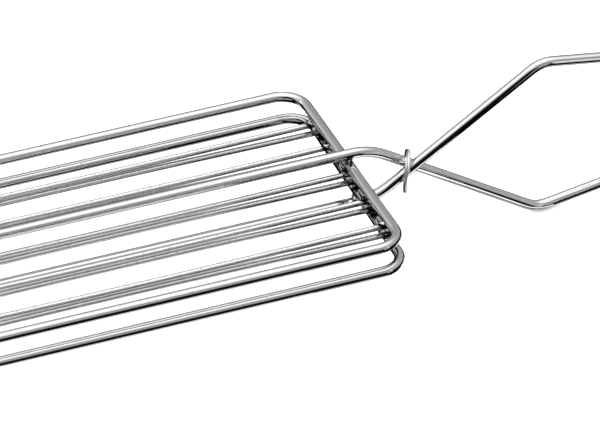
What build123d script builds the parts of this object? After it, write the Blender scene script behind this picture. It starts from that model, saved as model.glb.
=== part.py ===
from build123d import *
import math
import os

# Spring tongs of round steel wire that clamp a sandwich between two flat grids.
# Millimetres, +Z up, grids level, +X towards the handle, origin on the axis of the spring coil.

# Wire gauges
rail_wire = 4.8
rod_wire = 2.8
ring_wire = 1.6

# Grids
grid_width = 128.0
grid_length = 245.0
corner_radius = 12.0
rod_places = [-43.4, -22.6, 0.3, 23.3, 42.6]
rod_overhang = 1.7
rod_lean = 0.5
rod_bend_radius = 8000.0
spine_overhang = 3.0
meeting_gap = 0.4
weld_gap = 0.1
lower_bar_slant = 1.35

# Handle, measured from where the two arms cross
arm_angle = 32.9
spine_bend_radius = 30.0
upper_bar_before_bend = 1.3
lower_bar_before_bend = 0.2
half_spread = 40.1
outer_bend_radius = 14.0
taper_angle = 9.2
side_gap = 0.5
coil_radius = 11.0

# Loose ring at the crossing
ring_radius = 9.0
ring_lap_gap = 0.4
ring_lap_angle = 28.0
ring_lap_turn = 50.0
ring_crank_turn = 46.0
ring_yaw = 22.0
ring_lean = 3.0
ring_roll = 153.0
ring_forward = 0.6
ring_aside = 1.65
ring_drop = 3.95

# Weld nuggets
rod_nugget_radius = 1.8
spine_nugget_radius = 2.2
nugget_height = 2.0
nugget_edge = 0.6
cut_edge = 0.4

# Heights of the wire centre lines over the plane where the grids meet
rod_slope = math.tan(math.radians(rod_lean))
rod_bend_rise = rod_bend_radius * (math.hypot(1, rod_slope) - 1)
rod_vertex_height = (rod_wire + meeting_gap) / 2 - rod_bend_rise
rod_weld_height = rod_vertex_height + grid_length / 2 * rod_slope
frame_height = rod_weld_height + (rail_wire + rod_wire) / 2 + weld_gap
spine_height = frame_height + rail_wire + weld_gap
side_offset = (rail_wire + side_gap) / 2

# Places along X, from the crossing back to the coil and forward to the bars
slope = math.tan(math.radians(arm_angle))
taper = math.tan(math.radians(taper_angle))
spine_vertex = spine_height / slope
spine_bend_length = spine_bend_radius * math.tan(math.radians(arm_angle / 2))
outer_vertex = half_spread / slope
coil_drop = coil_radius / math.cos(math.radians(taper_angle))
crossing_x = -(outer_vertex + (half_spread - coil_drop) / taper)
bend_start = crossing_x - spine_vertex - spine_bend_length
upper_bar_x = bend_start - upper_bar_before_bend
lower_bar_x = bend_start - lower_bar_before_bend


def tube(path, diameter):
    """A round wire that follows a path."""
    section = Plane(origin=path @ 0, z_dir=path % 0) * Circle(diameter / 2)
    return sweep(section, path=path)


def bar_place(bar_x, slant, place):
    """Where an end bar lies along X, by its place at the near rail, its slant and the place across."""
    return bar_x + (place + grid_width / 2) * math.tan(math.radians(slant))


def frame_loop(bar_x, slant):
    """The loop of thick wire round one grid, with rounded corners, closed on itself."""
    near, far = -grid_width / 2, grid_width / 2
    near_x, far_x = bar_x, bar_place(bar_x, slant, far)
    corners = [(near_x - grid_length, near), (near_x, near), (far_x, far), (far_x - grid_length, far)]
    outline = make_face(Polyline(*corners, close=True))
    rounded = fillet(outline.vertices(), corner_radius)
    return tube((Pos(0, 0, frame_height) * rounded).wire(), rail_wire)


def rod(bar_x, place):
    """One thin rod, bent slightly inwards, across the inner side of both end bars."""
    reach = grid_length / 2 + rod_overhang
    tip_height = rod_vertex_height + reach * rod_slope
    points = [(-reach, 0, tip_height), (0, 0, rod_vertex_height), (reach, 0, tip_height)]
    blank = tube(FilletPolyline(*points, radius=rod_bend_radius), rod_wire)
    rims = blank.faces().filter_by(GeomType.PLANE).edges()
    return Pos(bar_x - grid_length / 2, place, 0) * chamfer(rims, cut_edge)


def coil_point(angle, side):
    """A point of the spring coil's centre line, by its angle above +X and its side."""
    turn = math.radians(angle)
    return (coil_radius * math.cos(turn), side, coil_radius * math.sin(turn))


def handle_wire(bar_x):
    """The spine over one grid, the arm that crosses to the other side, and the grip."""
    points = [
        (bar_x - grid_length - spine_overhang, side_offset, spine_height),
        (crossing_x - spine_vertex, side_offset, spine_height),
        (crossing_x + outer_vertex, side_offset, -half_spread),
        coil_point(taper_angle - 90, side_offset),
    ]
    path = FilletPolyline(*points, radius=[spine_bend_radius, outer_bend_radius])
    wire = tube(path, rail_wire)
    far_end = wire.faces().sort_by(Axis.X)[0]
    return chamfer(far_end.edges(), cut_edge)


def coil_path():
    """One turn and a half: a level half turn, a leaning one and a level one."""
    climb = math.hypot(coil_radius, side_offset)
    first = ThreePointArc(
        coil_point(90 - taper_angle, -side_offset),
        coil_point(0, -side_offset),
        coil_point(-90, -side_offset),
    )
    second = ThreePointArc(
        coil_point(-90, -side_offset),
        (-climb, 0, 0),
        coil_point(90, side_offset),
    )
    third = ThreePointArc(
        coil_point(90, side_offset),
        coil_point(0, side_offset),
        coil_point(taper_angle - 90, side_offset),
    )
    return Wire([first, second, third])


def ring_plane():
    """The plane of the ring, whose normal is the ring's own axis."""
    yaw = math.radians(ring_yaw)
    lean = math.radians(ring_lean)
    flat = math.cos(lean)
    normal = (flat * math.cos(yaw), -flat * math.sin(yaw), -math.sin(lean))
    level = (math.sin(yaw), math.cos(yaw), 0)
    centre = (crossing_x - ring_forward, ring_aside, -ring_drop)
    return Plane(origin=centre, x_dir=level, z_dir=normal)


def ring_point(turn, shift):
    """A point of the ring's centre line, by its turn from the free end and its share of the lap."""
    angle = math.radians(turn)
    lap = shift * (ring_wire + ring_lap_gap)
    radius = ring_radius + lap * math.cos(math.radians(ring_lap_angle))
    side = lap * math.sin(math.radians(ring_lap_angle))
    return (radius * math.cos(angle), -radius * math.sin(angle), side)


def ring_arc(start, end, shift):
    """A stretch of the ring of one radius, between two turns."""
    middle = ring_point((start + end) / 2, shift)
    return ThreePointArc(ring_point(start, shift), middle, ring_point(end, shift))


def ring_path():
    """A lapped ring: a short outer end, a crank inwards, and the rest of the turn."""
    crank_end = ring_lap_turn + ring_crank_turn
    half_way = (ring_lap_turn + 360 + crank_end) / 2
    short_end = ring_arc(0, ring_lap_turn, 1)
    near_half = ring_arc(crank_end, half_way, 0)
    far_half = ring_arc(half_way, 360 + ring_lap_turn, 0)
    crank = Spline(
        short_end @ 1,
        ring_point(ring_lap_turn + ring_crank_turn / 2, 0.5),
        near_half @ 0,
        tangents=[short_end % 1, near_half % 0],
    )
    return Wire([short_end, crank, near_half, far_half])


def crossing_ring():
    """The loose ring that holds the two arms side by side."""
    blank = tube(ring_path(), ring_wire)
    rims = blank.faces().filter_by(GeomType.PLANE).edges()
    return ring_plane() * Rot(0, 0, ring_roll) * fillet(rims, cut_edge)


def nugget(x, y, z, radius):
    """One weld between two crossed wires."""
    blank = Cylinder(radius, nugget_height)
    blank = fillet(blank.edges().filter_by(GeomType.CIRCLE), nugget_edge)
    return Pos(x, y, z) * blank


def rod_welds(bar_x, slant):
    """The welds that hold the rods to one end bar."""
    height = frame_height - (rail_wire + weld_gap) / 2
    beads = [
        nugget(bar_place(bar_x, slant, place), place, height, rod_nugget_radius)
        for place in rod_places
    ]
    return Compound(children=beads)


def spine_welds(bar_x):
    """The two welds that hold the spine to the end bars."""
    height = frame_height + (rail_wire + weld_gap) / 2
    places = (bar_x - grid_length, bar_x)
    beads = [nugget(x, side_offset, height, spine_nugget_radius) for x in places]
    return Compound(children=beads)


def grid_pieces(bar_x, slant):
    """The frame, the rods and their welds of an upper grid, by name."""
    pieces = {
        "frame": frame_loop(bar_x, slant),
        "front_welds": rod_welds(bar_x, slant),
        "rear_welds": rod_welds(bar_x - grid_length, slant),
    }
    for number, place in enumerate(rod_places, start=1):
        pieces[f"rod_{number}"] = rod(bar_place(bar_x, slant, place), place)
    return pieces


def handle_pieces(bar_x):
    """The upper grid's handle wire and the welds that hold it, by name."""
    return {"handle_wire": handle_wire(bar_x), "spine_welds": spine_welds(bar_x)}


def least_gap(path, diameter):
    """The least gap between turns, over points that lie well apart along the wire."""
    steps = 360
    points = [path @ (step / steps) for step in range(steps + 1)]
    apart = math.ceil(math.pi * diameter * steps / path.length)
    gaps = [
        (points[later] - points[early]).length - diameter
        for early in range(steps + 1)
        for later in range(early + apart, steps + 1)
    ]
    return min(gaps)


def all_nodes():
    """Every node by name. The lower grid is mirrored, and its handle wire turned over."""
    nodes = {"spring_coil": tube(coil_path(), rail_wire), "crossing_ring": crossing_ring()}
    for name, piece in {**grid_pieces(upper_bar_x, 0), **handle_pieces(upper_bar_x)}.items():
        nodes[f"upper_{name}"] = piece
    for name, piece in grid_pieces(lower_bar_x, lower_bar_slant).items():
        nodes[f"lower_{name}"] = mirror(piece, about=Plane.XY)
    spine_bar_x = bar_place(lower_bar_x, lower_bar_slant, -side_offset)
    for name, piece in handle_pieces(spine_bar_x).items():
        nodes[f"lower_{name}"] = piece.rotate(Axis.X, 180)
    return nodes


def main():
    """Write one file for each node."""
    os.makedirs("parts", exist_ok=True)
    for name, piece in all_nodes().items():
        piece.label = name
        export_step(piece, f"parts/{name}.step")
    print("least gap in the coil", round(least_gap(coil_path(), rail_wire), 3))
    print("least gap in the ring", round(least_gap(ring_path(), ring_wire), 3))


main()
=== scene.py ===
import logging
import math
from dataclasses import dataclass
from enum import Enum

import bpy
import numpy as np
from mathutils import Matrix, Vector


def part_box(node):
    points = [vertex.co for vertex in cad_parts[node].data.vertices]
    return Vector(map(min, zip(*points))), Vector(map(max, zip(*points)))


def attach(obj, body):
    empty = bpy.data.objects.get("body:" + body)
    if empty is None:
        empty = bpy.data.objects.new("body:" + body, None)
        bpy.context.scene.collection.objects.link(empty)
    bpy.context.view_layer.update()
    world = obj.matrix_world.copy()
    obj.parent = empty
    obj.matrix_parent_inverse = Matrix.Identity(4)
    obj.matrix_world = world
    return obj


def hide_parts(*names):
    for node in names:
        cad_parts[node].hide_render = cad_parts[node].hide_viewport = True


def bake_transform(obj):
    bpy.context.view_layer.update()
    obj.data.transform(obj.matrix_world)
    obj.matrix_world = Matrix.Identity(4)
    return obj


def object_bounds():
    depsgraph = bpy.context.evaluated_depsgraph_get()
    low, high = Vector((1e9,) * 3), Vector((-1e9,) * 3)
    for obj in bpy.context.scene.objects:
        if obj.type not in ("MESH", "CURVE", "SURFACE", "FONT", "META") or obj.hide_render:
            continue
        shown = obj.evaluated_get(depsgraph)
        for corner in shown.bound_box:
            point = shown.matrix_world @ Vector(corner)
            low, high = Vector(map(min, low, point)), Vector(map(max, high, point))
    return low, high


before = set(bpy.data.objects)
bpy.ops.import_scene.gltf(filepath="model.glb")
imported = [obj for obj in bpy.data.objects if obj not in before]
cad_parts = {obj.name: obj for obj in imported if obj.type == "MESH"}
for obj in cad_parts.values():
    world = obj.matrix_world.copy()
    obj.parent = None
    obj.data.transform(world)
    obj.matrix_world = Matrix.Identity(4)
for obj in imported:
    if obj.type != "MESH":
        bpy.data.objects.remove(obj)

LOG = logging.getLogger("wire_tongs")
CAD_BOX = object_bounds()

Triple = tuple[float, float, float]
Colour = tuple[float, float, float, float]
# Where a smooth step starts and ends along the value that it reads
Span = tuple[float, float]
# A smooth step with its results: where it starts and ends, then the value before and after it
Ramp = tuple[float, float, float, float]

# The photograph: its width in pixels, its pixels to a metre at the arms' crossing, and how far
# its middle lies from that crossing, in metres
PHOTO_WIDTH = 600.0
PHOTO_SCALE = 2273.8
CROSSING_RIGHT = 0.047615
CROSSING_UP = 0.021522

# The camera's direction and roll in degrees, and its lengths
CAMERA_AZIMUTH = -20.83
CAMERA_ELEVATION = 34.28
CAMERA_ROLL = 0.965
CAMERA_DISTANCE = 3.930
CAMERA_NEAREST = 0.1
CAMERA_FARTHEST = 60.0
SENSOR_WIDTH = 36.0

# Directions in the tongs' frame
ACROSS_TONGS = (0.0, 1.0, 0.0)
UPRIGHT = (0.0, 0.0, 1.0)

# How many points draw a bend, a half turn of the coil, a wire's direction and a worked end
BEND_POINTS = 49
TURN_POINTS = 97
LINE_POINTS = 2001
EDGE_POINTS = 6

# How a drawn wire's thickness wanders: the rate, in radians a metre, share and shift of each wave
SWAY_WAVES = ((97.0, 1.0, 0.0), (233.0, 0.6, 1.0), (517.0, 0.4, 2.0))

# The fields on a surface, the second of which darkens a point near a weld with weld scorch and painted shade,
# and the welds of a wire that has none
STRAIGHT = "straight_wire"
SCORCH_AND_SHADE = "scorch"
NO_WELDS = np.empty((0, 3))

# How many finer layers a noise has, and where a colour mix's own sockets stand on its node
COARSE_DETAIL = 2.0
PLAIN_DETAIL = 3.0
FINE_DETAIL = 4.0
MIX_FIRST, MIX_SECOND, MIX_RESULT = 6, 7, 2


class Lie(Enum):
    """Which of the two equal grids a piece belongs to, as the sign of its height."""

    UPPER = 1.0
    LOWER = -1.0

    @property
    def word(self) -> str:
        """The word that starts the names of this grid's nodes."""
        return self.name.lower()

    @property
    def body(self) -> str:
        """The moving body that this grid belongs to."""
        return f"{self.word}_grid"


class Metal(Enum):
    """The record's material slots."""

    FRAME = "frame_wire"
    ROD = "rod_wire"
    RING = "ring_wire"
    WELD = "weld"


@dataclass(frozen=True)
class TongsPlan:
    """The driving sizes of the tongs, in metres and radians, about the coil's axis."""

    rail_radius: float = 0.0024
    rod_radius: float = 0.0014
    ring_wire_radius: float = 0.0008
    grid_length: float = 0.245
    corner_bend: float = 0.012
    lower_bar_slant: float = math.radians(1.35)
    rod_lean: float = math.radians(0.5)
    rod_bend: float = 8.0
    meeting_gap: float = 0.0004
    weld_gap: float = 0.0001
    arm_angle: float = math.radians(32.9)
    spine_bend: float = 0.030
    half_spread: float = 0.0401
    outer_bend: float = 0.014
    taper_angle: float = math.radians(9.2)
    side_offset: float = 0.00265
    coil_radius: float = 0.011
    ring_bend: float = 0.0090
    ring_lap_gap: float = 0.0004
    ring_lap_angle: float = math.radians(28.0)
    ring_lap_turn: float = math.radians(50.0)
    ring_crank_turn: float = math.radians(46.0)
    ring_yaw: float = math.radians(22.0)
    ring_lean: float = math.radians(3.0)
    ring_roll: float = math.radians(153.0)
    ring_forward: float = 0.0006
    ring_aside: float = 0.00165
    ring_drop: float = 0.00395

    @property
    def spine_height(self) -> float:
        """Height of a spine's centre line over the plane where the grids meet.

        The rods stand half the meeting gap off that plane at their middle bend and lean away
        from it towards their ends. The frame lies on the rods, and the spine on the frame,
        each over a weld's gap.
        """
        lean = math.tan(self.rod_lean)
        cut_by_bend = self.rod_bend * (math.hypot(1.0, lean) - 1.0)
        rod_end = self.rod_radius + self.meeting_gap / 2 - cut_by_bend + self.grid_length / 2 * lean
        frame_height = rod_end + self.rod_radius + self.weld_gap + self.rail_radius
        return frame_height + 2 * self.rail_radius + self.weld_gap

    @property
    def outer_vertex(self) -> float:
        """Distance along X from the crossing to the corner of the outer bend."""
        return self.half_spread / math.tan(self.arm_angle)

    @property
    def spine_vertex(self) -> float:
        """Distance along X from the crossing back to the corner of the spine's bend."""
        return self.spine_height / math.tan(self.arm_angle)

    @property
    def crossing_x(self) -> float:
        """Where the two arms cross, along X from the coil's axis."""
        drop = self.coil_radius / math.cos(self.taper_angle)
        return -(self.outer_vertex + (self.half_spread - drop) / math.tan(self.taper_angle))


PLAN = TongsPlan()


@dataclass(frozen=True)
class Surface:
    """A grid of points on a surface, with the two fields that the finishes read.

    The grid's rows follow the wire and its columns go round it. `straight` holds each point's place on the
    wire as if it lay straight, and the other field its nearness to a weld, which sets the dark of weld scorch
    and painted shade there.
    """

    points: np.ndarray
    straight: np.ndarray
    scorch: np.ndarray
    closed: bool = False


def unit(vectors: np.ndarray) -> np.ndarray:
    """Each vector over its own length.

    Args:
        vectors: Vectors along the last axis.

    Returns:
        Vectors of length one.
    """
    return vectors / np.linalg.norm(vectors, axis=-1, keepdims=True)


def bent_course(corners: list[Triple], bends: list[float]) -> np.ndarray:
    """A centre line of straight runs joined by tangent arcs.

    At each inner corner an arc of radius r starts and ends r * tan(turn / 2) from it. Its
    centre lies on the corner's bisector, r / cos(turn / 2) from it.

    Args:
        corners: The first end, the corners in order and the last end.
        bends: One radius for each inner corner.

    Returns:
        Points along the line, close together on the arcs.
    """
    places = np.array(corners, float)
    parts = [places[:1]]
    for before, corner, after, bend in zip(places, places[1:], places[2:], bends):
        come, leave = unit(corner - before), unit(after - corner)
        turn = math.acos(float(np.clip(come @ leave, -1.0, 1.0)))
        centre = corner + unit(leave - come) * bend / math.cos(turn / 2)
        outward = unit(corner - come * bend * math.tan(turn / 2) - centre)
        angle = np.linspace(0.0, turn, BEND_POINTS)[:, None]
        parts.append(centre + bend * (np.cos(angle) * outward + np.sin(angle) * come))
    parts.append(places[-1:])
    return np.concatenate(parts)


def arc_course(first: np.ndarray, second: np.ndarray, start: float, end: float) -> np.ndarray:
    """An arc about the coil's axis: cos(angle) * first + sin(angle) * second.

    Args:
        first: The arm of the arc at angle nought.
        second: Its arm a quarter turn on.
        start: The first angle, in radians.
        end: The last angle, in radians.

    Returns:
        Points along the arc.
    """
    angle = np.linspace(start, end, TURN_POINTS)[:, None]
    return np.cos(angle) * first + np.sin(angle) * second


def walk(course: np.ndarray, stations: np.ndarray) -> np.ndarray:
    """Points at given distances along a line, between its own points in straight steps.

    Args:
        course: Points of the line.
        stations: Distances from its start.

    Returns:
        One point for each distance.
    """
    steps = np.linalg.norm(np.diff(course, axis=0), axis=1)
    travelled = np.concatenate(([0.0], np.cumsum(steps)))
    return np.stack([np.interp(stations, travelled, axis) for axis in course.T], axis=1)


def course_length(course: np.ndarray) -> float:
    """The length of a line, as the sum of the steps between its points."""
    return float(np.linalg.norm(np.diff(course, axis=0), axis=1).sum())


def scorch_near(points: np.ndarray, welds: np.ndarray, reach: float) -> np.ndarray:
    """How strongly the nearest weld darkens each point, with weld scorch and painted shade: 1 / (1 +
    (distance / reach) to the fourth).

    Args:
        points: Any grid of points.
        welds: The welds' centres, one to a row.
        reach: The distance at which the mark has faded to a half.

    Returns:
        One value for each point, nought where there are no welds.
    """
    if not len(welds):
        return np.zeros(points.shape[:-1])
    gaps = np.linalg.norm(points[..., None, :] - welds, axis=-1).min(axis=-1)
    return 1.0 / (1.0 + (gaps / reach) ** 4)


@dataclass(frozen=True)
class Wire:
    """A round wire along a centre line.

    `across` is a direction about square to the line all along. `spacing` is the step between
    stations, the edges are the roundings of its worked ends, and `start_length` is how much
    wire came before. `sway` is how far the drawn thickness wanders, as a share of the radius.
    """

    course: np.ndarray
    radius: float
    across: Triple
    sides: int = 32
    spacing: float = 0.002
    start_edge: float = 0.0
    end_edge: float = 0.0
    start_length: float = 0.0
    sway: float = 0.003

    def stations(self, length: float) -> np.ndarray:
        """Distances along the wire: even steps, with close ones round each worked end.

        Args:
            length: The wire's length.

        Returns:
            Rising distances from nought to the length.
        """
        count = max(2, round(length / self.spacing))
        inner = np.linspace(self.start_edge, length - self.end_edge, count)
        corner = 1.0 - np.cos(np.linspace(0.0, math.pi / 2, EDGE_POINTS, endpoint=False))
        start = self.start_edge * corner if self.start_edge else np.empty(0)
        end = length - self.end_edge * corner[::-1] if self.end_edge else np.empty(0)
        return np.concatenate((start, inner, end))

    def girth(self, stations: np.ndarray, length: float) -> np.ndarray:
        """The wire's radius at each station.

        Along the wire it is radius * (1 - sway * (1 + wander)), where wander is the mean of
        three slow sines by their shares. A worked end is a quarter round, which takes
        edge - sqrt(edge^2 - (edge - distance)^2) off the radius.

        Args:
            stations: Distances along the wire.
            length: The wire's length.

        Returns:
            One radius for each station.
        """
        place = stations + self.start_length
        waves = sum(share * np.sin(place * rate + shift) for rate, share, shift in SWAY_WAVES)
        wander = waves / sum(share for _, share, _ in SWAY_WAVES)
        radius = self.radius * (1.0 - self.sway * (1.0 + wander))
        for edge, distance in ((self.start_edge, stations), (self.end_edge, length - stations)):
            if edge:
                short = np.clip(edge - distance, 0.0, edge)
                radius = radius - edge + np.sqrt(edge**2 - short**2)
        return radius

    def surface(self, welds: np.ndarray = NO_WELDS, reach: float = 0.0) -> Surface:
        """The tube's points: the line plus radius times (cos(turn) * side + sin(turn) * across).

        Args:
            welds: Centres of the welds on this wire.
            reach: How far their marks of weld scorch and painted shade spread.

        Returns:
            The wire's surface, open at both ends of the grid.
        """
        length = course_length(self.course)
        stations = self.stations(length)
        line = walk(self.course, stations)
        even = np.linspace(0.0, length, LINE_POINTS)
        ahead = unit(np.gradient(walk(self.course, even), axis=0))
        along = unit(np.stack([np.interp(stations, even, axis) for axis in ahead.T], axis=1))
        level = np.array(self.across)
        across = unit(level - (along @ level)[:, None] * along)
        side = np.cross(across, along)
        turn = np.linspace(0.0, 2 * math.pi, self.sides, endpoint=False)
        radius = self.girth(stations, length)[:, None]
        wide, high = radius * np.cos(turn), radius * np.sin(turn)
        points = line[:, None] + wide[..., None] * side[:, None] + high[..., None] * across[:, None]
        place = np.broadcast_to((stations + self.start_length)[:, None], wide.shape)
        straight = np.stack((place, wide, high), axis=-1)
        return Surface(points, straight, scorch_near(points, welds, reach))


@dataclass(frozen=True)
class Bead:
    """One weld: a squeezed lump between two crossed wires.

    `pitch` is how closely its swells follow each other, in radians to a unit of direction.
    `pole` is the angle that a small flat face closes at its top and at its bottom.
    """

    centre: Triple
    half_sizes: Triple
    seed: int
    unevenness: float = 0.35
    waves: int = 7
    pitch: float = 2.6
    rows: int = 22
    columns: int = 28
    pole: float = 0.04

    def ripple(self, directions: np.ndarray) -> np.ndarray:
        """A gentle unevenness over a sphere: the mean of several plane sine waves.

        Args:
            directions: Unit vectors.

        Returns:
            A value between -1 and 1 for each direction.
        """
        chance = np.random.default_rng(self.seed)
        rates = chance.normal(0.0, self.pitch, (self.waves, 3))
        shifts = chance.uniform(0.0, 2 * math.pi, self.waves)
        return np.sin(directions @ rates.T + shifts).mean(axis=-1)

    def surface(self) -> Surface:
        """The lump's points: centre + half sizes * direction * (1 + unevenness * ripple).

        Returns:
            A grid from the lump's top to its bottom.
        """
        down = np.linspace(self.pole, math.pi - self.pole, self.rows)[:, None]
        around = np.linspace(0.0, 2 * math.pi, self.columns, endpoint=False)[None]
        height = np.broadcast_to(np.cos(down), (self.rows, self.columns))
        direction = np.stack((np.sin(down) * np.cos(around), np.sin(down) * np.sin(around), height), axis=-1)
        swell = 1.0 + self.unevenness * self.ripple(direction)
        offset = direction * swell[..., None] * np.array(self.half_sizes)
        points = np.array(self.centre) + offset
        return Surface(points, offset, np.ones(points.shape[:-1]))


def skin(surfaces: list[Surface]) -> tuple[np.ndarray, list[list[int]], np.ndarray, np.ndarray]:
    """Joins grids into one set of points and faces, each grid a closed shell.

    Neighbouring rows and columns make four-sided faces. A grid that isn't closed on itself
    gets one flat face over each end.

    Args:
        surfaces: The grids.

    Returns:
        Points, faces, straight places, and the values of weld scorch and painted shade.
    """
    faces: list[list[int]] = []
    first = 0
    for surface in surfaces:
        rows, columns = surface.points.shape[:2]
        number = first + np.arange(rows * columns).reshape(rows, columns)
        if surface.closed:
            number = np.concatenate((number, number[:1]))
        here, there = number[:-1], number[1:]
        quads = np.stack((here, np.roll(here, -1, 1), np.roll(there, -1, 1), there), axis=-1)
        faces.extend(quads.reshape(-1, 4).tolist())
        if not surface.closed:
            faces.append(number[0][::-1].tolist())
            faces.append(number[-1].tolist())
        first += rows * columns
    points = np.concatenate([surface.points.reshape(-1, 3) for surface in surfaces])
    straight = np.concatenate([surface.straight.reshape(-1, 3) for surface in surfaces])
    scorch = np.concatenate([surface.scorch.reshape(-1) for surface in surfaces])
    return points, faces, straight, scorch


def place_mesh(mesh: bpy.types.Mesh, finish: bpy.types.Material) -> bpy.types.Object:
    """Gives a mesh its material and puts it into the scene at the origin.

    Args:
        mesh: The mesh, which also gives the object its name.
        finish: Its material.

    Returns:
        The new object.
    """
    mesh.materials.append(finish)
    placed = bpy.data.objects.new(mesh.name, mesh)
    bpy.context.collection.objects.link(placed)
    return placed


def make_piece(name: str, surfaces: list[Surface], finish: bpy.types.Material) -> bpy.types.Object:
    """Puts surfaces into one mesh object at the origin.

    Args:
        name: The object's name.
        surfaces: Its closed grids.
        finish: Its material.

    Returns:
        The new object, shaded smooth, faces outwards.
    """
    points, faces, straight, scorch = skin(surfaces)
    mesh = bpy.data.meshes.new(name)
    mesh.from_pydata(points.tolist(), [], faces)
    mesh.polygons.foreach_set("use_smooth", np.array([len(face) == 4 for face in faces]))
    field = mesh.attributes.new(STRAIGHT, "FLOAT_VECTOR", "POINT")
    field.data.foreach_set("vector", straight.astype(np.float32).ravel())
    marks = mesh.attributes.new(SCORCH_AND_SHADE, "FLOAT", "POINT")
    marks.data.foreach_set("value", scorch.astype(np.float32))
    mesh.validate()
    mesh.update()
    return place_mesh(mesh, finish)


def make_sheet(name: str, corners: list[Triple], paper: bpy.types.Material) -> bpy.types.Object:
    """Makes one flat face for the studio.

    Args:
        name: The sheet's name.
        corners: Its corners in order.
        paper: Its material.

    Returns:
        The new object.
    """
    mesh = bpy.data.meshes.new(name)
    mesh.from_pydata(corners, [], [tuple(range(len(corners)))])
    return place_mesh(mesh, paper)


class NodeBench:
    """A small helper that adds shader nodes to one tree and wires them up."""

    def __init__(self, tree: bpy.types.NodeTree) -> None:
        """Keeps the tree.

        Args:
            tree: The node tree to add to.
        """
        self.tree = tree

    def add(self, kind: str, **values: object) -> bpy.types.Node:
        """Adds a node and sets its own properties.

        Args:
            kind: The node's type name.
            values: Properties of the node.

        Returns:
            The new node.
        """
        node = self.tree.nodes.new(kind)
        for name, value in values.items():
            setattr(node, name, value)
        return node

    def put(self, socket: bpy.types.NodeSocket, value: object) -> None:
        """Links a socket or sets its value.

        Args:
            socket: An input socket.
            value: An output socket, or a number, vector or colour.
        """
        if isinstance(value, bpy.types.NodeSocket):
            self.tree.links.new(value, socket)
        else:
            socket.default_value = value

    def math(self, operation: str, first: object, second: object) -> bpy.types.NodeSocket:
        """One sum of two values.

        Args:
            operation: The Math node's operation.
            first: Its first value.
            second: Its second value.

        Returns:
            The result's socket.
        """
        node = self.add("ShaderNodeMath", operation=operation)
        self.put(node.inputs[0], first)
        self.put(node.inputs[1], second)
        return node.outputs[0]

    def plus(self, first: object, second: object) -> bpy.types.NodeSocket:
        """Two values added."""
        return self.math("ADD", first, second)

    def minus(self, first: object, second: object) -> bpy.types.NodeSocket:
        """One value less another."""
        return self.math("SUBTRACT", first, second)

    def times(self, first: object, second: object) -> bpy.types.NodeSocket:
        """One value times another."""
        return self.math("MULTIPLY", first, second)

    def step(
        self, value: object, low: object, high: object, under: object = 0.0, over: object = 1.0
    ) -> bpy.types.NodeSocket:
        """A smooth step from one value to another.

        Args:
            value: What is tested.
            low: Where the step starts.
            high: Where it ends.
            under: The result below it.
            over: The result above it.

        Returns:
            The result's socket.
        """
        node = self.add("ShaderNodeMapRange", interpolation_type="SMOOTHSTEP")
        for socket, entry in zip(node.inputs, (value, low, high, under, over)):
            self.put(socket, entry)
        return node.outputs[0]

    def noise(self, place: object, scale: float, detail: float) -> bpy.types.NodeSocket:
        """Noise over a place.

        Args:
            place: A vector socket.
            scale: Patches to a metre.
            detail: How many finer layers it has.

        Returns:
            A value socket, about a half on average.
        """
        node = self.add("ShaderNodeTexNoise")
        self.put(node.inputs["Vector"], place)
        self.put(node.inputs["Scale"], scale)
        self.put(node.inputs["Detail"], detail)
        return node.outputs["Fac"]

    def streaks(self, place: object, squash: float, scale: float, detail: float) -> bpy.types.NodeSocket:
        """Noise drawn out along X.

        Args:
            place: A vector socket.
            squash: The share of its scale that it keeps along X.
            scale: Patches to a metre across X.
            detail: How many finer layers it has.

        Returns:
            A value socket, about a half on average.
        """
        node = self.add("ShaderNodeMapping")
        self.put(node.inputs["Vector"], place)
        node.inputs["Scale"].default_value = (squash, 1.0, 1.0)
        return self.noise(node.outputs["Vector"], scale, detail)

    def blend(self, share: object, first: object, second: object) -> bpy.types.NodeSocket:
        """A mix of two colours.

        Args:
            share: The second colour's share.
            first: The first colour.
            second: The second colour.

        Returns:
            The mixed colour's socket.
        """
        node = self.add("ShaderNodeMix", data_type="RGBA")
        self.put(node.inputs["Factor"], share)
        self.put(node.inputs[MIX_FIRST], first)
        self.put(node.inputs[MIX_SECOND], second)
        return node.outputs[MIX_RESULT]

    def bump(self, height: object, depth: float) -> bpy.types.Node:
        """A fine relief in the surface.

        Args:
            height: The relief's height, from nought to one.
            depth: What a height of one comes to, in metres.

        Returns:
            The new node.
        """
        node = self.add("ShaderNodeBump")
        self.put(node.inputs["Height"], height)
        node.inputs["Distance"].default_value = depth
        return node


def start_finish(name: str) -> tuple[bpy.types.Material, NodeBench, bpy.types.Node]:
    """Starts a material of nodes.

    Args:
        name: Its name.

    Returns:
        The material, a bench for its nodes and its shader.
    """
    material = bpy.data.materials.new(name)
    material.use_nodes = True
    return material, NodeBench(material.node_tree), material.node_tree.nodes["Principled BSDF"]


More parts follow.
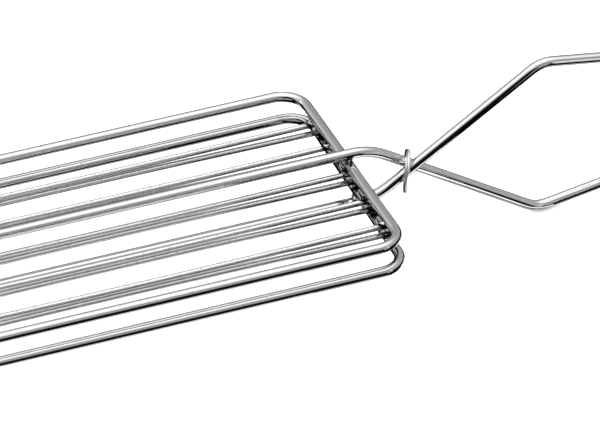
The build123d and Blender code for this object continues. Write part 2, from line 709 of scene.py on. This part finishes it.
@dataclass(frozen=True)
class BrightPlate:
    """Bright plating on drawn wire: faint lines along the wire, fine grain, pits, and black near the welds,
    partly weld scorch and partly painted shade.

    Scales are in patches to a metre and depths in metres. A squash is the share of its scale that a pattern
    keeps along the wire. `tint` is the plate's colour and `dull` the pits'. The third colour is the black
    near the welds: partly weld scorch, partly painted shade and painted dark reflection where the wires crowd
    each other. `ragged` is how far streaks tear that black mark's edge.
    """

    name: str
    tint: Colour = (0.83, 0.83, 0.84, 1.0)
    dull: Colour = (0.42, 0.42, 0.43, 1.0)
    # Near-weld black: partly weld scorch, partly painted shade and painted dark reflection
    burnt: Colour = (0.012, 0.012, 0.014, 1.0)
    smooth: float = 0.015
    rough: float = 0.055
    haze_scale: float = 46.0
    haze: Span = (0.35, 0.75)
    line_scale: float = 2600.0
    line_squash: float = 0.02
    line_depth: float = 0.000012
    grain_scale: float = 420.0
    grain_depth: float = 0.000010
    pit_fineness: float = 2.3
    pit_level: float = 0.66
    pit_edge: float = 0.08
    pit_dullness: float = 0.7
    pit_roughness: float = 0.12
    streak_scale: float = 1500.0
    streak_squash: float = 0.18
    streak_middle: float = 0.5
    scorch_level: float = 0.42
    scorch_edge: float = 0.12
    scorch_roughness: float = 0.12
    ragged: float = 1.7

    def build(self) -> bpy.types.Material:
        """Makes the material.

        Returns:
            A node material for the wires.
        """
        material, bench, shader = start_finish(self.name)
        wire = bench.add("ShaderNodeAttribute", attribute_name=STRAIGHT).outputs["Vector"]
        scorch = bench.add("ShaderNodeAttribute", attribute_name=SCORCH_AND_SHADE).outputs["Fac"]
        place = bench.add("ShaderNodeTexCoord").outputs["Object"]
        pits = bench.noise(place, self.grain_scale * self.pit_fineness, COARSE_DETAIL)
        pitted = bench.step(pits, self.pit_level, self.pit_level + self.pit_edge)
        streaks = bench.streaks(wire, self.streak_squash, self.streak_scale, COARSE_DETAIL)
        torn = bench.times(bench.minus(streaks, self.streak_middle), self.ragged)
        # The black near the welds: partly weld scorch, partly painted shade and painted dark reflection
        # between crossed wires
        burn_and_shade = bench.step(bench.plus(scorch, torn), self.scorch_level, self.scorch_level + self.scorch_edge)
        plate = bench.blend(bench.times(pitted, self.pit_dullness), self.tint, self.dull)
        bench.put(shader.inputs["Base Color"], bench.blend(burn_and_shade, plate, self.burnt))
        clouds = bench.noise(place, self.haze_scale, PLAIN_DETAIL)
        haze = bench.step(clouds, *self.haze, self.smooth, self.rough)
        worn = bench.plus(haze, bench.times(pitted, self.pit_roughness))
        bench.put(shader.inputs["Roughness"], bench.plus(worn, bench.times(burn_and_shade, self.scorch_roughness)))
        shader.inputs["Metallic"].default_value = 1.0
        lines = bench.streaks(wire, self.line_squash, self.line_scale, FINE_DETAIL)
        grain = bench.noise(place, self.grain_scale, FINE_DETAIL)
        drawn = bench.bump(lines, self.line_depth)
        relief = bench.bump(bench.minus(grain, pitted), self.grain_depth)
        bench.put(relief.inputs["Normal"], drawn.outputs["Normal"])
        bench.put(shader.inputs["Normal"], relief.outputs["Normal"])
        return material


FRAME_PLATE = BrightPlate("bright_frame_plate")
ROD_PLATE = BrightPlate(
    "bright_rod_plate", smooth=0.11, rough=0.17, grain_depth=0.00003, grain_scale=620.0, pit_level=0.6
)
RING_PLATE = BrightPlate("bright_ring_plate", smooth=0.26, rough=0.36)


@dataclass(frozen=True)
class WeldSkin:
    """Plated weld metal, lumpy and half dull: painted near black for the shade and dark reflection in the
    crevices between the wires, with some dark weld metal, and patches of bright plate between.
    """

    name: str = "plated_weld"
    dark: Colour = (0.012, 0.012, 0.014, 1.0)
    bright: Colour = (0.72, 0.72, 0.73, 1.0)
    patch_scale: float = 430.0
    patch_edge: Span = (0.53, 0.57)
    lump_scale: float = 520.0
    lump_depth: float = 0.00035
    lump_roughness: Ramp = (0.3, 0.7, 0.2, 0.06)

    def build(self) -> bpy.types.Material:
        """Makes the material.

        Returns:
            A node material for the welds.
        """
        material, bench, shader = start_finish(self.name)
        place = bench.add("ShaderNodeTexCoord").outputs["Object"]
        lumps = bench.noise(place, self.lump_scale, FINE_DETAIL)
        patches = bench.noise(place, self.patch_scale, COARSE_DETAIL)
        share = bench.step(patches, *self.patch_edge)
        # Painted shade: nearly black, broken by patches of bright plating
        bench.put(shader.inputs["Base Color"], bench.blend(share, self.dark, self.bright))
        bench.put(shader.inputs["Roughness"], bench.step(lumps, *self.lump_roughness))
        shader.inputs["Metallic"].default_value = 1.0
        bench.put(shader.inputs["Normal"], bench.bump(lumps, self.lump_depth).outputs["Normal"])
        return material


@dataclass
class Workshop:
    """The finishes, by material slot, and the way that a piece joins the tongs."""

    finishes: dict[Metal, bpy.types.Material]

    def fit(self, name: str, surfaces: list[Surface], metal: Metal, nodes: list[str]) -> bpy.types.Object:
        """Makes a piece that stands for CAD nodes.

        Args:
            name: The piece's name.
            surfaces: Its surfaces.
            metal: Its material slot.
            nodes: The nodes that it stands for.

        Returns:
            The new piece, not yet riding on a body.
        """
        piece = make_piece(name, surfaces, self.finishes[metal])
        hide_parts(*nodes)
        LOG.info("%s: %d points", name, len(piece.data.vertices))
        return piece


def node_middle(node: str) -> np.ndarray:
    """The middle of a CAD node's box."""
    low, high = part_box(node)
    return (np.array(low) + np.array(high)) / 2


def node_span(node: str) -> np.ndarray:
    """The lengths of a CAD node's box."""
    low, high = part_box(node)
    return np.array(high) - np.array(low)


@dataclass
class Grid:
    """One grid: its frame, its rods and their welds.

    The marks are how far the black near a weld reaches, which is partly weld scorch and partly painted shade
    and painted dark reflection between the crossed wires, and `inward` is how far a weld is drawn towards the
    grid's inside. `rod_start` sets each rod's draw marks apart from its neighbour's. The frame's loop starts
    and ends at a seam, `seam_share` of the way from its middle to its rear end.
    """

    lie: Lie
    shop: Workshop
    rods: int = 5
    rod_edge: float = 0.0004
    rod_sides: int = 24
    rod_sway: float = 0.006
    rod_start: float = 0.37
    spacing: float = 0.001
    seam_share: float = 0.45
    seam_step: float = 0.0003
    bead_half: Triple = (0.0027, 0.0024, 0.0014)
    spine_bead_half: Triple = (0.0027, 0.0030, 0.0013)
    inward: float = 0.0008
    seed_step: int = 7
    front_seed: int = 13
    # How far the black near the welds reaches on the frame, the spine and the rods: partly weld scorch,
    # partly painted shade and painted dark reflection of the bars
    frame_mark: float = 0.0037
    spine_mark: float = 0.0028
    upper_rod_mark: float = 0.0043
    lower_rod_mark: float = 0.0047

    @property
    def frame_node(self) -> str:
        """The name of this grid's frame among the CAD nodes."""
        return f"{self.lie.word}_frame"

    @property
    def slope(self) -> float:
        """How far an end bar moves along X for each metre across the grid."""
        return math.tan(PLAN.lower_bar_slant) if self.lie is Lie.LOWER else 0.0

    def frame_course(self) -> np.ndarray:
        """The frame's centre line: a loop with rounded corners from one rail round to it.

        Returns:
            Points of the closed line, whose ends stop just short of each other.
        """
        middle = node_middle(self.frame_node)
        half_width = node_span(self.frame_node)[1] / 2 - PLAN.rail_radius
        near, far, height = middle[1] - half_width, middle[1] + half_width, middle[2]
        (near_left, near_right), (far_left, far_right) = self.bar_places(near), self.bar_places(far)
        seam = middle[0] - (far_right - middle[0]) * self.seam_share
        corners = [
            (seam + self.seam_step, far, height),
            (far_right, far, height),
            (near_right, near, height),
            (near_left, near, height),
            (far_left, far, height),
            (seam, far, height),
        ]
        return bent_course(corners, [PLAN.corner_bend] * 4)

    def bar_places(self, across: float) -> tuple[float, float]:
        """Where the rear and the front end bar lie along X.

        A slanted loop's box is longer than the loop's side by the slope times the straight
        part of the bar.

        Args:
            across: The place along Y.

        Returns:
            The rear bar's place and the front bar's.
        """
        middle = node_middle(self.frame_node)
        span = node_span(self.frame_node) - 2 * PLAN.rail_radius
        half = (span[0] - self.slope * (span[1] - 2 * PLAN.corner_bend)) / 2
        here = middle[0] + self.slope * across
        return here - half, here + half

    def rod_welds(self) -> np.ndarray:
        """The centres of the welds between rods and bars, on the rods' side of the frame.

        Returns:
            One centre to a row: the rear bar's from the near side on, then the front bar's.
        """
        frame_z = node_middle(self.frame_node)[2]
        centres = []
        for end in (0, 1):
            for number in range(1, self.rods + 1):
                rod = node_middle(f"{self.lie.word}_rod_{number}")
                gap_z = frame_z + math.copysign(PLAN.rail_radius, rod[2] - frame_z)
                centres.append((self.bar_places(rod[1])[end], rod[1], gap_z))
        return np.array(centres)

    def spine_welds(self) -> np.ndarray:
        """The centres of the welds between the spine and the bars.

        Returns:
            One centre to a row, the rear bar's first.
        """
        side = self.lie.value * PLAN.side_offset
        height = node_middle(self.frame_node)[2] + self.lie.value * PLAN.rail_radius
        return np.array([(bar, side, height) for bar in self.bar_places(side)])

    def build(self) -> None:
        """Makes the frame, the rods and the welds."""
        welds = self.rod_welds()
        spine_welds = self.spine_welds()
        self.build_frame(welds, spine_welds)
        for number in range(1, self.rods + 1):
            self.build_rod(number, welds)
        for place, first in (("rear", 0), ("front", self.rods)):
            self.build_beads(f"{self.lie.word}_{place}_welds", welds[first:first + self.rods], self.bead_half)
        self.build_beads(f"{self.lie.word}_spine_welds", spine_welds, self.spine_bead_half)

    def build_frame(self, welds: np.ndarray, spine_welds: np.ndarray) -> None:
        """Makes the frame.

        The spine's welds darken it all round, with weld scorch and painted shade. The rods' welds darken its
        inner side by the share 0.5 - height / radius, held between nought and one: painted shade on the side
        that faces the other grid, with some weld scorch. The height is a point's own over the wire's centre
        line, away from the other grid.

        Args:
            welds: The centres of the welds between rods and bars.
            spine_welds: The centres of the welds between the spine and the bars.
        """
        loop = Wire(self.frame_course(), PLAN.rail_radius, UPRIGHT, spacing=self.spacing)
        surface = loop.surface(spine_welds, self.spine_mark)
        outward = self.lie.value * (surface.points[..., 2] - node_middle(self.frame_node)[2])
        # Painted shade: the side of the frame that faces the other grid goes dark near the rods' welds
        inner = np.clip(0.5 - outward / PLAN.rail_radius, 0.0, 1.0)
        scorch = np.maximum(surface.scorch, inner * scorch_near(surface.points, welds, self.frame_mark))
        closed = Surface(surface.points, surface.straight, scorch, closed=True)
        piece = self.shop.fit(f"{self.lie.word}_grid_frame", [closed], Metal.FRAME, [self.frame_node])
        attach(piece, self.lie.body)

    def rod_course(self, number: int) -> np.ndarray:
        """A rod's centre line: two straight halves that lean towards the other grid.

        Args:
            number: The rod's number, from the near side.

        Returns:
            Points along the line.
        """
        middle = node_middle(f"{self.lie.word}_rod_{number}")
        span = node_span(f"{self.lie.word}_rod_{number}")
        reach = span[0] / 2
        tip = middle[2] + self.lie.value * (span[2] / 2 - PLAN.rod_radius)
        dip = tip - self.lie.value * reach * math.tan(PLAN.rod_lean)
        corners = [
            (middle[0] - reach, middle[1], tip),
            (middle[0], middle[1], dip),
            (middle[0] + reach, middle[1], tip),
        ]
        return bent_course(corners, [PLAN.rod_bend])

    def build_rod(self, number: int, welds: np.ndarray) -> None:
        """Makes one rod.

        Args:
            number: The rod's number, from the near side.
            welds: The centres of the grid's rod welds.
        """
        node = f"{self.lie.word}_rod_{number}"
        wire = Wire(
            self.rod_course(number),
            PLAN.rod_radius,
            ACROSS_TONGS,
            sides=self.rod_sides,
            spacing=self.spacing,
            start_edge=self.rod_edge,
            end_edge=self.rod_edge,
            start_length=number * self.rod_start + self.lie.value,
            sway=self.rod_sway,
        )
        mark = self.upper_rod_mark if self.lie is Lie.UPPER else self.lower_rod_mark
        piece = self.shop.fit(f"{node}_wire", [wire.surface(welds, mark)], Metal.ROD, [node])
        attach(piece, self.lie.body)

    def build_beads(self, node: str, centres: np.ndarray, half_sizes: Triple) -> None:
        """Makes one group of welds, each drawn a little towards the grid's inside.

        A weld's seed comes from its number, its group's name and its grid.

        Args:
            node: The CAD node that the group stands for.
            centres: The welds' centres.
            half_sizes: Half of a weld's length, width and height.
        """
        inside = node_middle(self.frame_node)[0]
        group = len(node) + round(self.lie.value) + (self.front_seed if "front" in node else 0)
        beads = []
        for index, centre in enumerate(centres):
            shift = math.copysign(self.inward, inside - centre[0])
            place = (centre[0] + shift, centre[1], centre[2])
            beads.append(Bead(place, half_sizes, index * self.seed_step + group).surface())
        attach(self.shop.fit(f"{node}_beads", beads, Metal.WELD, [node]), self.lie.body)


def coil_point(angle: float, side: float) -> Triple:
    """A point of the coil's centre line, by its angle above +X and its place along the axis."""
    return (PLAN.coil_radius * math.cos(angle), side, PLAN.coil_radius * math.sin(angle))


@dataclass
class Handle:
    """The two handle wires and the coil that joins them, in truth one long wire."""

    shop: Workshop
    spine_edge: float = 0.0006
    # How far the black near the spine's welds reaches on the handle wires: weld scorch and painted shade
    spine_mark: float = 0.003
    coil_spacing: float = 0.0007

    def arm_course(self, lie: Lie) -> np.ndarray:
        """The centre line from the spine's far end to the coil.

        Args:
            lie: Which grid's wire it is.

        Returns:
            Points along the line.
        """
        sign, side = lie.value, lie.value * PLAN.side_offset
        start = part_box(f"{lie.word}_handle_wire")[0][0]
        meet = coil_point(PLAN.taper_angle - math.pi / 2, PLAN.side_offset)
        corners = [
            (start, side, sign * PLAN.spine_height),
            (PLAN.crossing_x - PLAN.spine_vertex, side, sign * PLAN.spine_height),
            (PLAN.crossing_x + PLAN.outer_vertex, side, -sign * PLAN.half_spread),
            (meet[0], side, sign * meet[2]),
        ]
        return bent_course(corners, [PLAN.spine_bend, PLAN.outer_bend])

    def build(self, grids: list[Grid]) -> None:
        """Makes both handle wires and the three half turns of the coil.

        Args:
            grids: The grids, whose spine welds darken the wires with weld scorch and painted shade.
        """
        lengths = {}
        for grid in grids:
            lie = grid.lie
            course = self.arm_course(lie)
            lengths[lie] = course_length(course)
            node = f"{lie.word}_handle_wire"
            wire = Wire(course, PLAN.rail_radius, ACROSS_TONGS, start_edge=self.spine_edge)
            surface = wire.surface(grid.spine_welds(), self.spine_mark)
            piece = self.shop.fit(f"{node}_drawn", [surface], Metal.FRAME, [node])
            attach(piece, lie.body)
        self.build_coil(lengths[Lie.LOWER])

    def build_coil(self, length: float) -> None:
        """Makes the coil: a half turn on each body, and one between them that rides on neither body.

        Args:
            length: The length of wire before the coil, where its pattern starts.
        """
        radius, side = PLAN.coil_radius, PLAN.side_offset
        level, upright = np.array((radius, 0.0, 0.0)), np.array((0.0, 0.0, radius))
        across = np.array((0.0, side, 0.0))
        leaning = np.array((0.0, side, radius))
        climb = np.array((math.hypot(radius, side), 0.0, 0.0))
        quarter, taper = math.pi / 2, PLAN.taper_angle
        turns = (
            ("coil_first_turn", arc_course(level, upright, quarter - taper, -quarter) - across),
            ("coil_middle_turn", arc_course(climb, leaning, -quarter, -3 * quarter)),
            ("coil_last_turn", arc_course(level, upright, quarter, taper - quarter) + across),
        )
        pieces = {}
        for name, course in turns:
            wire = Wire(
                course, PLAN.rail_radius, ACROSS_TONGS, spacing=self.coil_spacing, start_length=length
            )
            length += course_length(course)
            pieces[name] = self.shop.fit(name, [wire.surface()], Metal.FRAME, ["spring_coil"])
        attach(pieces["coil_first_turn"], Lie.LOWER.body)
        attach(pieces["coil_last_turn"], Lie.UPPER.body)
        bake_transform(pieces["coil_middle_turn"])


@dataclass
class CrossingRing:
    """The loose ring of thin wire round the crossing, with lapped ends."""

    shop: Workshop
    end_edge: float = 0.0006
    points: int = 721
    sides: int = 24
    spacing: float = 0.0004

    def plane(self) -> np.ndarray:
        """The ring's own axes as columns: across, up the ring, and its axis.

        Returns:
            A turning matrix.
        """
        yaw, lean, roll = PLAN.ring_yaw, PLAN.ring_lean, PLAN.ring_roll
        axis = np.array((math.cos(lean) * math.cos(yaw), -math.cos(lean) * math.sin(yaw), -math.sin(lean)))
        level = np.array((math.sin(yaw), math.cos(yaw), 0.0))
        rise = np.cross(axis, level)
        first = math.cos(roll) * level + math.sin(roll) * rise
        return np.stack((first, np.cross(axis, first), axis), axis=1)

    def course(self) -> np.ndarray:
        """A turn and a lap, whose short end lies outside and beside the rest.

        The lap is one wire and a gap along the short end, falls by half a cosine wave
        through the crank, and is nought from there on. Its cosine widens the ring and its
        sine moves it aside.

        Returns:
            Points along the ring's wire, in the tongs' frame.
        """
        turn = np.linspace(0.0, 2 * math.pi + PLAN.ring_lap_turn, self.points)
        crank = np.clip((turn - PLAN.ring_lap_turn) / PLAN.ring_crank_turn, 0.0, 1.0)
        lap = (2 * PLAN.ring_wire_radius + PLAN.ring_lap_gap) * (1.0 + np.cos(math.pi * crank)) / 2
        radius = PLAN.ring_bend + lap * math.cos(PLAN.ring_lap_angle)
        side = lap * math.sin(PLAN.ring_lap_angle)
        line = np.stack((radius * np.cos(turn), -radius * np.sin(turn), side), axis=-1)
        centre = np.array((PLAN.crossing_x - PLAN.ring_forward, PLAN.ring_aside, -PLAN.ring_drop))
        return centre + line @ self.plane().T

    def build(self) -> None:
        """Makes the ring."""
        wire = Wire(
            self.course(),
            PLAN.ring_wire_radius,
            tuple(self.plane()[:, 2]),
            sides=self.sides,
            spacing=self.spacing,
            start_edge=self.end_edge,
            end_edge=self.end_edge,
        )
        piece = self.shop.fit("loose_ring", [wire.surface()], Metal.RING, ["crossing_ring"])
        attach(piece, "ring")


# Where upright cards stand along Y, and how far floor cards lie under the tongs
CARD_STAND = -0.30
CARD_DROP = 0.0003

# The floor cards' outlines along X and Y, under the arms and under the grids
ARM_CARD_OUTLINE = (
    (-0.250, -0.048),
    (-0.235, -0.048),
    (-0.205, -0.055),
    (-0.182, -0.0084),
    (-0.170, -0.0030),
    (-0.170, -0.0005),
    (-0.187, -0.0040),
    (-0.210, -0.0150),
    (-0.235, -0.0120),
    (-0.250, -0.0110),
)
GRID_CARD_OUTLINE = (
    (-0.560, -0.086),
    (-0.300, -0.086),
    (-0.300, -0.035),
    (-0.400, 0.000),
    (-0.560, 0.000),
)


@dataclass(frozen=True)
class Card:
    """A pale card near the tongs that only mirrored light sees: its corners in order, and its glow."""

    name: str
    corners: list[Triple]
    glow: float

    def build(self) -> None:
        """Stands the card in the studio."""
        paper = bpy.data.materials.new(f"{self.name}_paper")
        paper.use_nodes = True
        light = NodeBench(paper.node_tree).add("ShaderNodeEmission")
        light.inputs["Strength"].default_value = self.glow
        outlet = paper.node_tree.nodes["Material Output"]
        paper.node_tree.links.new(light.outputs[0], outlet.inputs["Surface"])
        card = make_sheet(self.name, self.corners, paper)
        card.visible_camera = card.visible_diffuse = card.visible_shadow = card.visible_transmission = False


def upright_card(name: str, left: float, right: float, low: float, high: float, glow: float) -> Card:
    """A level card that stands before the near side of the tongs.

    Args:
        name: The card's name.
        left: Its end towards the grids, along X.
        right: Its end towards the coil.
        low: Its lower edge.
        high: Its upper edge.
        glow: How bright it is.

    Returns:
        The card.
    """
    outline = ((left, low), (right, low), (right, high), (left, high))
    return Card(name, [(x, CARD_STAND, z) for x, z in outline], glow)


def floor_card(name: str, outline: tuple[tuple[float, float], ...], glow: float) -> Card:
    """A card that lies just over the floor.

    Args:
        name: The card's name.
        outline: Its corners along X and Y.
        glow: How bright it is.

    Returns:
        The card.
    """
    height = CAD_BOX[0].z - CARD_DROP
    return Card(name, [(x, y, height) for x, y in outline], glow)


CARDS = (
    floor_card("grid_card", GRID_CARD_OUTLINE, glow=0.75),
    floor_card("arm_card", ARM_CARD_OUTLINE, glow=1.2),
    upright_card("upper_grip_card", left=-0.058, right=-0.004, low=-0.08, high=0.12, glow=0.85),
    upright_card("lower_grip_card", left=-0.14, right=-0.075, low=-0.09, high=0.06, glow=0.45),
)


@dataclass(frozen=True)
class MirroredRoom:
    """The studio that bright metal mirrors, by where the mirrored ray points.

    `forward` is the ray's share along +X, towards the coil, `far` its share along +Y, away
    from the near side, and `height` its share upwards. The spans and ramps are soft edges.
    """

    bench: NodeBench
    forward: bpy.types.NodeSocket
    far: bpy.types.NodeSocket
    height: bpy.types.NodeSocket
    black: float = 0.003
    grey: float = 0.37
    white: float = 1.25
    grid_glow: float = 0.22
    coil_glow: float = 0.09
    grid_wall: Span = (-0.5, -0.1)
    coil_wall: Span = (0.5, 0.8)
    roof_edge: Span = (0.60, 0.92)
    near_side: Ramp = (-0.6, 0.2, 1.0, 0.0)
    band_turn: float = 0.33
    band_slant: float = 0.72
    band_lift: float = 0.273
    band_trim: float = 0.01
    band_softness: Ramp = (-0.3, 0.3, 0.09, 0.16)
    far_shift: float = -0.1
    ground_slant: float = 0.3
    ground_edge: Ramp = (-1.04, -0.92, 0.55, 0.0)
    ground_end: Ramp = (0.36, 0.46, 1.0, 0.0)
    window_end: Ramp = (-0.85, -0.55, 1.0, 0.0)
    window_sill: Span = (-0.1, 0.1)
    window_side: Span = (0.35, 0.6)

    def wall(self) -> bpy.types.NodeSocket:
        """The grey wall over the black band, lighter towards the grids and the coil.

        The band's upper edge lies about where height + shift is nought. On the far side the
        shift is far_shift. On the near side it is forward * band_slant - band_lift, so the
        edge rises towards the grids. There forward counts up to band_turn only, so the edge
        is level from the rails' own direction on towards the coil.

        Returns:
            The wall's brightness.
        """
        bench = self.bench
        near = bench.step(self.far, *self.near_side)
        turned = bench.math("MINIMUM", self.forward, self.band_turn)
        slant = bench.minus(bench.times(turned, self.band_slant), self.band_lift)
        far_part = bench.times(bench.minus(1.0, near), self.far_shift)
        edge = bench.plus(self.height, bench.plus(bench.times(near, slant), far_part))
        soft = bench.step(self.forward, *self.band_softness)
        low, high = bench.minus(-self.band_trim, soft), bench.minus(soft, self.band_trim)
        grid_part = bench.step(self.forward, *self.grid_wall, self.grey + self.grid_glow, self.grey)
        coil_part = bench.step(self.forward, *self.coil_wall, 0.0, self.coil_glow)
        return bench.step(edge, low, high, self.black, bench.plus(grid_part, coil_part))

    def ground(self) -> bpy.types.NodeSocket:
        """The pale ground below, which rises towards the coil and then ends.

        Returns:
            The ground's brightness, added to the band's.
        """
        bench = self.bench
        low = bench.minus(self.height, bench.times(self.forward, self.ground_slant))
        return bench.times(bench.step(low, *self.ground_edge), bench.step(self.forward, *self.ground_end))

    def window(self) -> bpy.types.NodeSocket:
        """The window on the far side, towards the grids.

        Returns:
            The window's brightness, added to the wall's.
        """
        bench = self.bench
        high = bench.step(self.height, *self.window_sill)
        aside = bench.step(self.far, *self.window_side)
        return bench.times(bench.step(self.forward, *self.window_end), bench.times(high, aside))

    def build(self) -> bpy.types.NodeSocket:
        """The whole room: the wall and its band, a white roof, the ground and the window.

        Returns:
            The brightness that a mirrored ray sees.
        """
        bench = self.bench
        roof = bench.step(self.height, *self.roof_edge, 0.0, self.white - self.grey)
        upper = bench.plus(self.wall(), roof)
        return bench.plus(bench.plus(upper, self.ground()), self.window())


@dataclass
class Studio:
    """A pale floor, soft light and the camera."""

    pale: float = 2.4
    floor_half: float = 20.0
    floor_gap: float = 0.0006
    paper_scale: float = 3.0
    paper_tone: Ramp = (0.3, 0.7, 0.86, 0.9)
    paper_roughness: float = 0.9

    def floor(self) -> None:
        """Lays a wide flat floor just under the tongs, which bright metal doesn't mirror."""
        paper, bench, shader = start_finish("studio_paper")
        place = bench.add("ShaderNodeTexCoord").outputs["Object"]
        tone = bench.step(bench.noise(place, self.paper_scale, PLAIN_DETAIL), *self.paper_tone)
        bench.put(shader.inputs["Base Color"], tone)
        shader.inputs["Roughness"].default_value = self.paper_roughness
        shader.inputs["Specular IOR Level"].default_value = 0.0
        half, height = self.floor_half, CAD_BOX[0].z - self.floor_gap
        corners = [(-half, -half, height), (half, -half, height), (half, half, height), (-half, half, height)]
        floor = make_sheet("studio_floor", corners, paper)
        floor.visible_glossy = False

    def sky(self) -> None:
        """Surrounds the tongs with soft even light, and gives bright metal a room to mirror."""
        world = bpy.data.worlds.new("soft_studio")
        bpy.context.scene.world = world
        world.use_nodes = True
        bench = NodeBench(world.node_tree)
        split = bench.add("ShaderNodeSeparateXYZ")
        bench.put(split.inputs[0], bench.add("ShaderNodeTexCoord").outputs["Generated"])
        mirrored = MirroredRoom(bench, *split.outputs).build()
        glossy = bench.add("ShaderNodeLightPath").outputs["Is Glossy Ray"]
        plain = bench.times(bench.minus(1.0, glossy), self.pale)
        background = world.node_tree.nodes["Background"]
        bench.put(background.inputs["Color"], bench.plus(bench.times(glossy, mirrored), plain))
        background.inputs["Strength"].default_value = 1.0

    def camera(self) -> None:
        """Places the camera where the photograph was taken from.

        Its directions follow from azimuth, elevation and roll. It stands the camera distance
        back from the crossing, which the offsets then put in its own place in the picture.
        """
        degrees = (CAMERA_AZIMUTH, CAMERA_ELEVATION, CAMERA_ROLL)
        azimuth, elevation, roll = (math.radians(angle) for angle in degrees)
        flat = math.cos(elevation)
        ahead = np.array((-math.sin(azimuth) * flat, math.cos(azimuth) * flat, -math.sin(elevation)))
        right = np.array((math.cos(azimuth), math.sin(azimuth), 0.0))
        up = np.cross(right, ahead)
        level = right * math.cos(roll) - up * math.sin(roll)
        upright = right * math.sin(roll) + up * math.cos(roll)
        crossing = np.array((PLAN.crossing_x, 0.0, 0.0))
        place = crossing - ahead * CAMERA_DISTANCE - level * CROSSING_RIGHT - upright * CROSSING_UP
        lens = bpy.data.cameras.new("photo_camera")
        lens.sensor_width = SENSOR_WIDTH
        lens.lens = SENSOR_WIDTH * PHOTO_SCALE * CAMERA_DISTANCE / PHOTO_WIDTH
        lens.clip_start, lens.clip_end = CAMERA_NEAREST, CAMERA_FARTHEST
        camera = bpy.data.objects.new("photo_camera", lens)
        bpy.context.collection.objects.link(camera)
        axes = Matrix((level, upright, -ahead)).transposed().to_4x4()
        axes.translation = Vector(place)
        camera.matrix_world = axes
        bpy.context.scene.camera = camera

    def build(self) -> None:
        """Makes the floor, the cards, the light and the camera."""
        self.floor()
        for card in CARDS:
            card.build()
        self.sky()
        self.camera()
        bpy.context.scene.view_settings.view_transform = "Standard"


def main() -> None:
    """Builds the studio, then the tongs in it, piece by piece."""
    logging.basicConfig(level=logging.INFO)
    Studio().build()
    finishes = {
        Metal.FRAME: FRAME_PLATE.build(),
        Metal.ROD: ROD_PLATE.build(),
        Metal.RING: RING_PLATE.build(),
        Metal.WELD: WeldSkin().build(),
    }
    shop = Workshop(finishes)
    grids = [Grid(Lie.UPPER, shop), Grid(Lie.LOWER, shop)]
    for grid in grids:
        grid.build()
    Handle(shop).build(grids)
    CrossingRing(shop).build()


if __name__ == "__main__":
    main()
